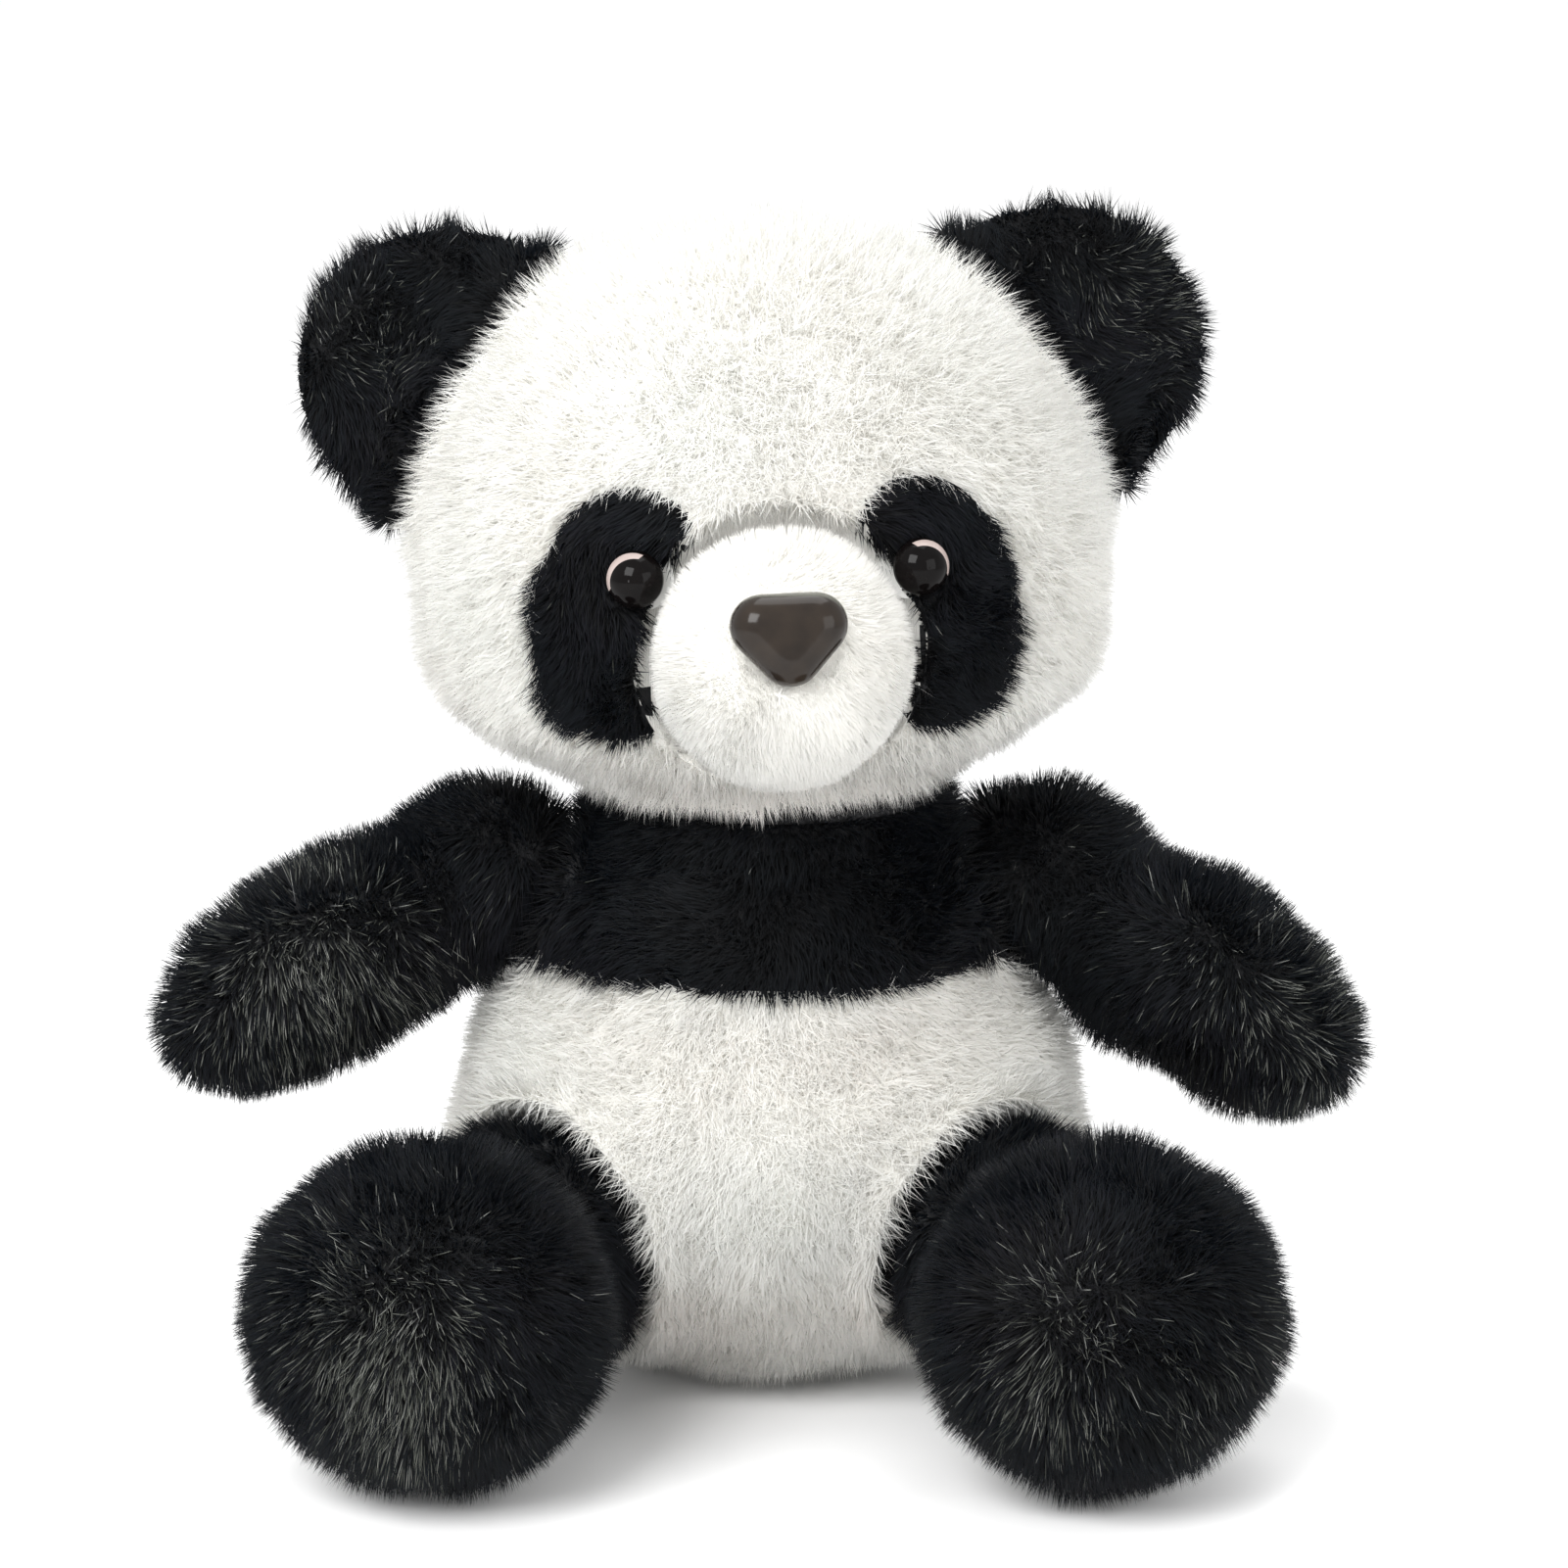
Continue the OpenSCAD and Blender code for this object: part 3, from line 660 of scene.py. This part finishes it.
def fibre_kind(panel, p, rng):
    count = len(p)
    tone = drift(77, 0.05)(p)[:, 0] * 0.5 + 0.5
    if not is_black(panel):
        # painted shade: under the muzzle and low on the belly, the kind moves towards the darker cream
        low_shade = np.zeros(count)
        if panel.startswith("face"):
            low_shade = np.clip((0.158 - p[:, 2]) / 0.03, 0, 1) * 0.22
        elif panel.startswith("belly"):
            low_shade = np.clip((0.045 - p[:, 2]) / 0.04, 0, 1) * 0.25
        cream = 0.32 + 0.18 * tone + low_shade + rng.normal(size=count) * 0.11
        if panel.startswith("muzzle"):
            cream = 0.42 + 0.1 * tone + rng.normal(size=count) * 0.07
        return np.clip(cream, 0.01, 0.99)
    dark = np.clip(0.1 + 0.36 * tone + rng.normal(size=count) * 0.12, 0.01, 0.62)
    glint_share = np.full(count, 0.006)
    if panel.startswith(("chest", "eye_patch", "upper_back")):
        glint_share[:] = 0.001
    if panel.startswith("ear"):
        glint_share[:] = 0.008
    for middle, reach, share in PAINTED_GLINTS:
        glint_share += share * np.exp(-(np.linalg.norm(p - np.array(middle), axis=1) / reach) ** 2)
    # a strand picked here gets a pale kind: a painted glint on its tip
    painted_glint = rng.random(count) < glint_share
    return np.where(painted_glint, 0.72 + 0.27 * rng.random(count) ** 1.5, dark)


# %% Grow every pile
PER_PIECE = 195000
total = 0
for seed, name in enumerate(BODIES, start=11):
    for panel, p, tips, normal, width, kind, rng in grow(name, seed * 10):
        material = BLACK_FIBRE if is_black(panel) else WHITE_FIBRE
        order = np.argsort(p[:, 2], kind="stable")
        parts = math.ceil(len(p) / PER_PIECE)
        for k, chosen in enumerate(np.array_split(order, parts)):
            label = f"{panel}_pile" + (f"_{k + 1}" if parts > 1 else "")
            pile = strand_mesh(label, p[chosen], tips[chosen], normal[chosen], width[chosen], kind[chosen],
                               rng, material)
            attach(pile, RIDES_ON[name])
            total += len(chosen)
        print(panel, len(p), "fibres")
print("fibres in all:", total)

# %% Finish the backings
for name, bag in bags.items():
    bag.data.materials.append(WHITE_BACKING)
    bag.data.materials.append(BLACK_BACKING)
    depth = DEPTH.get(name, PILE)
    shade = []
    for face in bag.data.polygons:
        panel = panel_above(name, np.array(face.center), np.array(face.normal), depth + PAST_SKIN)
        shade.append(1 if is_black(panel) else 0)
    bag.data.polygons.foreach_set("material_index", shade)
    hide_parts(*BODIES[name], *FILLING[name])
    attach(bag, RIDES_ON[name])

# %% [markdown]
# Inside the seat lies a small cloth bag of plastic pellets, which keeps the toy upright. It can't be
# seen, but it is a real piece of the toy, so it gets a padded mesh of its own and a plain woven cotton.

# %% The pellet bag
bag = padded_body("pellet_bag_cloth", ["pellet_bag"], 0.0, 0.004)
cotton = Finish("cotton_bag")
weave = cotton.node("ShaderNodeTexWave", {"wave_type": "BANDS", "bands_direction": "DIAGONAL"},
                    {"Vector": cotton.place(), "Scale": 420.0, "Distortion": 1.0})
cotton.set(Base_Color=cotton.mix("MIX", cotton.noise(90.0), (0.55, 0.47, 0.36, 1), (0.68, 0.6, 0.48, 1)),
           Roughness=0.9, Normal=cotton.bump(weave, 0.0002))
bag.data.materials.append(cotton.material)
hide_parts("pellet_bag")
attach(bag, "torso")

# %% [markdown]
# The eyes and the nose are polished plastic. The nose is a soft triangle, domed and glossy, with a
# moulded shank behind it. The frame's nose is a hull of facets, and gloss shows every facet, so a copy
# is remade in fine voxels and relaxed until the highlight runs smoothly over it.

# %% The nose
nose = fused_copy("nose_button", ["nose"], 0.0005)
relax = nose.modifiers.new("Relax", "SMOOTH")
relax.factor, relax.iterations = 0.5, 12
bpy.ops.object.modifier_apply(modifier=relax.name)
nose.data.shade_smooth()


NOSE_TILT = 0.27  # how far the nose's face leans back, as a slope
RIM_AHEAD = 0.0035  # how far in front of the nose's middle its paler rim begins
RIM_EDGE = 450.0  # one over the width of the change of colour at the rim


def gloss(name, dark, light, scale, roughness, shine, rim=None):
    """A polished plastic. With rim, (y, colour), the parts further back than y have that colour."""
    f = Finish(name)
    colour = f.mix("MIX", f.noise(scale, 3.0), (*dark, 1), (*light, 1))
    if rim:
        back = f.part(f.place(), "Y") + NOSE_TILT * f.part(f.place(), "Z")
        depth = (back - rim[0]) * RIM_EDGE
        mask = f.node("ShaderNodeValToRGB", {"stops": [(0.3, (0, 0, 0)), (0.8, (1, 1, 1))]}, [depth])
        colour = f.mix("MIX", mask, colour, (*rim[1], 1))
    f.shader.inputs["Specular IOR Level"].default_value = shine
    f.shader.inputs["Coat Roughness"].default_value = 0.04
    haze = f.noise(scale * 6, 2.0)
    return f.set(Base_Color=colour, Roughness=roughness + 0.06 * haze, Coat_Weight=0.04 * haze,
                 Normal=f.bump(f.noise(scale * 2.5), 0.00006, 0.3))


NOSE_EDGE = NOSE[1] + NOSE_TILT * NOSE[2] - RIM_AHEAD
NOSE_PLASTIC = gloss("nose_plastic", (0.006, 0.005, 0.005), (0.030, 0.022, 0.016), 160.0, 0.12, 0.18,
                     (NOSE_EDGE, (0.10, 0.10, 0.085)))
EYE_PLASTIC = gloss("eye_plastic", (0.0015, 0.0013, 0.0013), (0.004, 0.003, 0.003), 220.0, 0.06, 0.08)
EYE_WHITE = gloss("eye_white_plastic", (0.30, 0.24, 0.22), (0.42, 0.35, 0.33), 300.0, 0.25, 0.2)
nose.data.materials.append(NOSE_PLASTIC)
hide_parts("nose")
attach(nose, "head")
print("nose:", len(nose.data.polygons), "faces")

# %% Finishes on the frame's own hard pieces
washer = Finish("washer_plastic")
washer.set(Base_Color=washer.mix("MIX", washer.noise(200.0), (0.74, 0.74, 0.7, 1), (0.84, 0.84, 0.82, 1)),
           Roughness=0.45 + 0.1 * washer.noise(500.0), Normal=washer.bump(washer.noise(900.0), 0.00005))
thread = Finish("gathering_thread")
ply = thread.node("ShaderNodeTexWave", {"wave_type": "BANDS", "bands_direction": "DIAGONAL"},
                  {"Vector": thread.place(), "Scale": 300.0, "Distortion": 0.6})
thread.set(Base_Color=thread.mix("MIX", ply, (0.006, 0.006, 0.007, 1), (0.018, 0.018, 0.02, 1)),
           Roughness=0.9, Normal=thread.bump(ply, 0.0002))
HARD = {"eye_washer_left": washer.material, "eye_washer_right": washer.material,
        "nose_washer": washer.material, "neck_thread": thread.material,
        "eye_left": EYE_PLASTIC, "eye_right": EYE_PLASTIC,
        "eye_white_left": EYE_WHITE, "eye_white_right": EYE_WHITE}
for node, material in HARD.items():
    NODES[node].data.materials.clear()
    NODES[node].data.materials.append(material)

# %% [markdown]
# The toy is shown as in a studio: seated on a pale seamless floor under large soft lights, with the
# camera a little above its eye level.

# %% Floor, light and camera
bpy.ops.object.select_all(action="DESELECT")
bpy.ops.mesh.primitive_plane_add(size=400, location=(0, 0, 0))
floor = bpy.context.object
floor.name = "floor"
paper = Finish("seamless_paper")
paper.set(Base_Color=(0.94, 0.94, 0.94, 1), Roughness=0.9)
floor.data.materials.append(paper.material)

world = bpy.data.worlds.new("studio")
bpy.context.scene.world = world
world.use_nodes = True
world.node_tree.nodes["Background"].inputs["Color"].default_value = (1, 1, 1, 1)
world.node_tree.nodes["Background"].inputs["Strength"].default_value = 1.08
bpy.context.scene.view_settings.view_transform = "Standard"


def soft_light(name, place, aim, width, power):
    data = bpy.data.lights.new(name, "AREA")
    data.shape, data.size, data.energy = "SQUARE", width, power
    lamp = bpy.data.objects.new(name, data)
    lamp.location = place
    lamp.rotation_euler = (Vector(aim) - Vector(place)).to_track_quat("-Z", "Y").to_euler()
    bpy.context.collection.objects.link(lamp)


MIDDLE = (0, 0, 0.13)
soft_light("key", (-0.55, -0.95, 0.95), MIDDLE, 0.7, 18)
soft_light("fill", (0.9, -0.9, 0.45), MIDDLE, 0.8, 5)
soft_light("top", (0.1, 0.2, 1.2), MIDDLE, 0.7, 5)

CAMERA_AIM = Vector((0.0039, -0.010, 0.1332))
CAMERA_RISE, CAMERA_FAR, LENS = 12.0, 0.93, 97.0
data = bpy.data.cameras.new("camera")
data.lens, data.sensor_width = LENS, 36.0
camera = bpy.data.objects.new("camera", data)
rise = math.radians(CAMERA_RISE)
camera.location = CAMERA_AIM + Vector((0, -math.cos(rise), math.sin(rise))) * CAMERA_FAR
camera.rotation_euler = (math.radians(90) - rise, 0, 0)
bpy.context.collection.objects.link(camera)
bpy.context.scene.camera = camera
